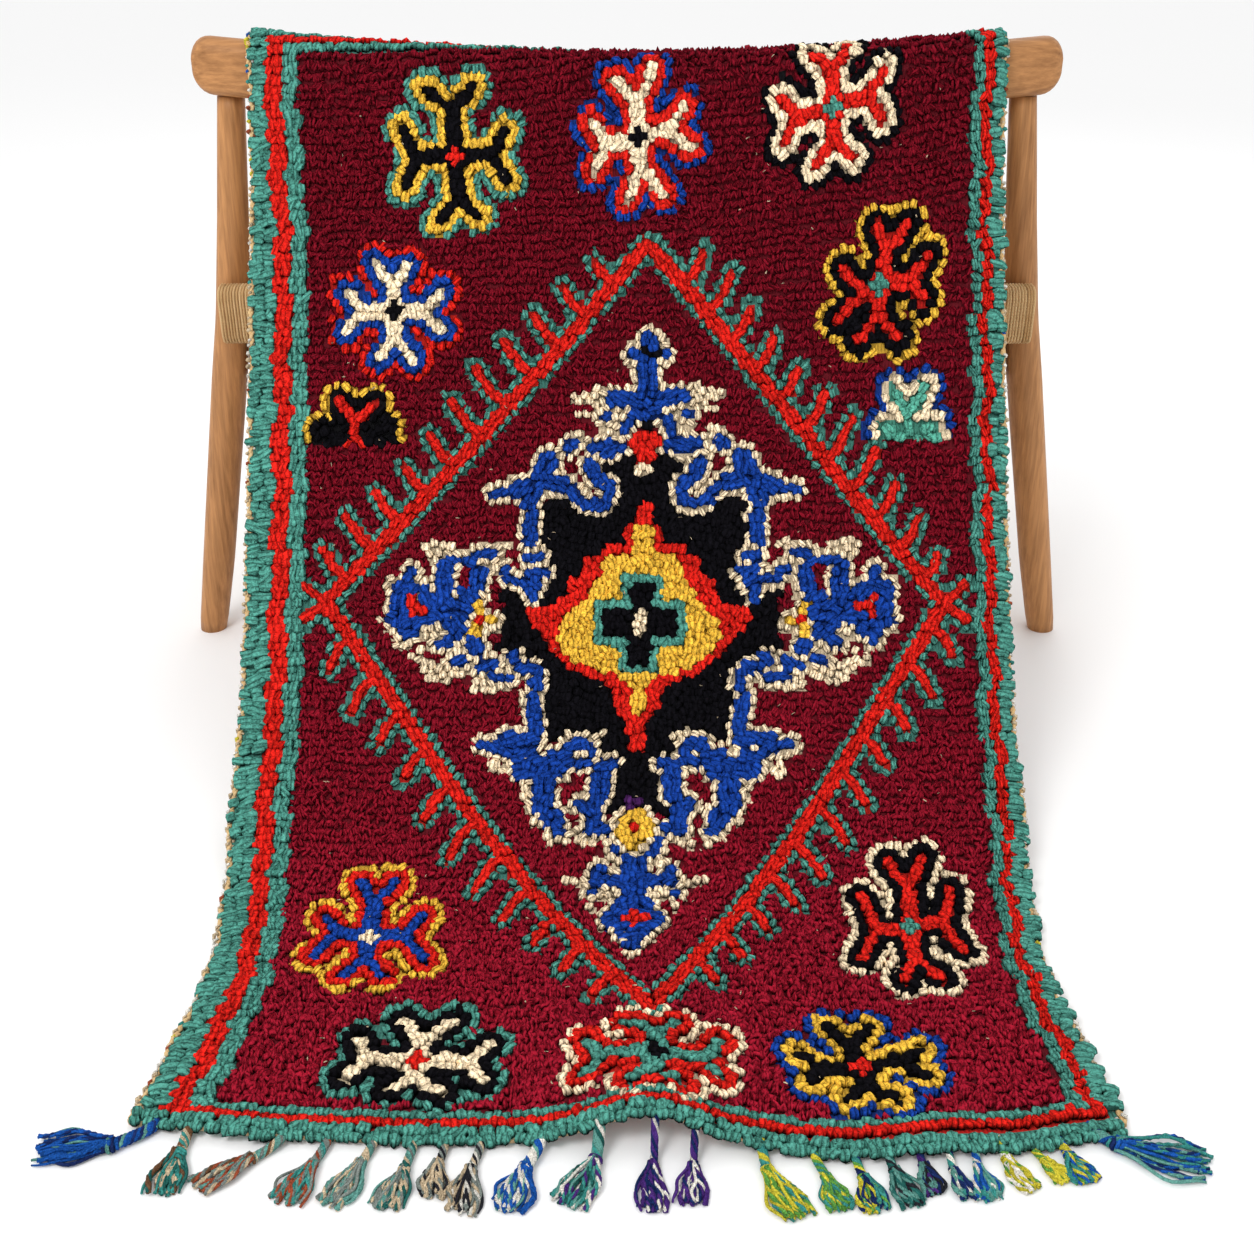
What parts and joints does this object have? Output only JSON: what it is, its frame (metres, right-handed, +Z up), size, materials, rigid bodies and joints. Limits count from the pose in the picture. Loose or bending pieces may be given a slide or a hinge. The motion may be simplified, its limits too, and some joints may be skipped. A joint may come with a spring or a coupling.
{
  "type": "knotted pile rug draped over a rope-seat chair",
  "caption": "Hand-knotted pile rug with tied tassels, hung over the bowed back of a wide wooden chair with a rope seat and running out on the floor.",
  "frame": {"origin": "middle of the footprint, on the floor that the legs and the rug rest on", "axes": "+Z up; -Y towards the rug's tasselled front edge; +X to the right of someone who faces the rug; the chair's seat lies on the +Y side"},
  "size_m": [1.179, 1.4616, 0.7761],
  "materials": {
    "wool_pile": "matte curly yarn pile",
    "tassel_yarn": "matte twisted yarn",
    "waxed_wood": "satin wax",
    "paper_cord": "matte twisted cord"
  },
  "bodies": {
    "root": {"rug": "wool_pile", "tassel_front_01": "tassel_yarn", "tassel_front_02": "tassel_yarn", "tassel_front_03": "tassel_yarn", "tassel_front_04": "tassel_yarn", "tassel_front_05": "tassel_yarn", "tassel_front_06": "tassel_yarn", "tassel_front_07": "tassel_yarn", "tassel_front_08": "tassel_yarn", "tassel_front_09": "tassel_yarn", "tassel_front_10": "tassel_yarn", "tassel_front_11": "tassel_yarn", "tassel_front_12": "tassel_yarn", "tassel_front_13": "tassel_yarn", "tassel_front_14": "tassel_yarn", "tassel_front_15": "tassel_yarn", "tassel_front_16": "tassel_yarn", "tassel_front_17": "tassel_yarn", "tassel_front_18": "tassel_yarn", "tassel_front_19": "tassel_yarn", "tassel_front_20": "tassel_yarn", "tassel_front_21": "tassel_yarn", "tassel_front_22": "tassel_yarn", "tassel_front_23": "tassel_yarn", "tassel_back_01": "tassel_yarn", "tassel_back_02": "tassel_yarn", "tassel_back_03": "tassel_yarn", "tassel_back_04": "tassel_yarn", "tassel_back_05": "tassel_yarn", "tassel_back_06": "tassel_yarn", "tassel_back_07": "tassel_yarn", "tassel_back_08": "tassel_yarn", "tassel_back_09": "tassel_yarn", "tassel_back_10": "tassel_yarn", "crest_rail": "waxed_wood", "rear_leg_left": "waxed_wood", "rear_leg_right": "waxed_wood", "front_leg_left": "waxed_wood", "front_leg_right": "waxed_wood", "apron_rear": "waxed_wood", "apron_front": "waxed_wood", "apron_left": "waxed_wood", "apron_right": "waxed_wood", "seat_rail_rear": "paper_cord", "seat_rail_front": "paper_cord", "seat_rail_left": "paper_cord", "seat_rail_right": "paper_cord", "seat": "paper_cord"}
  },
  "joints": []
}
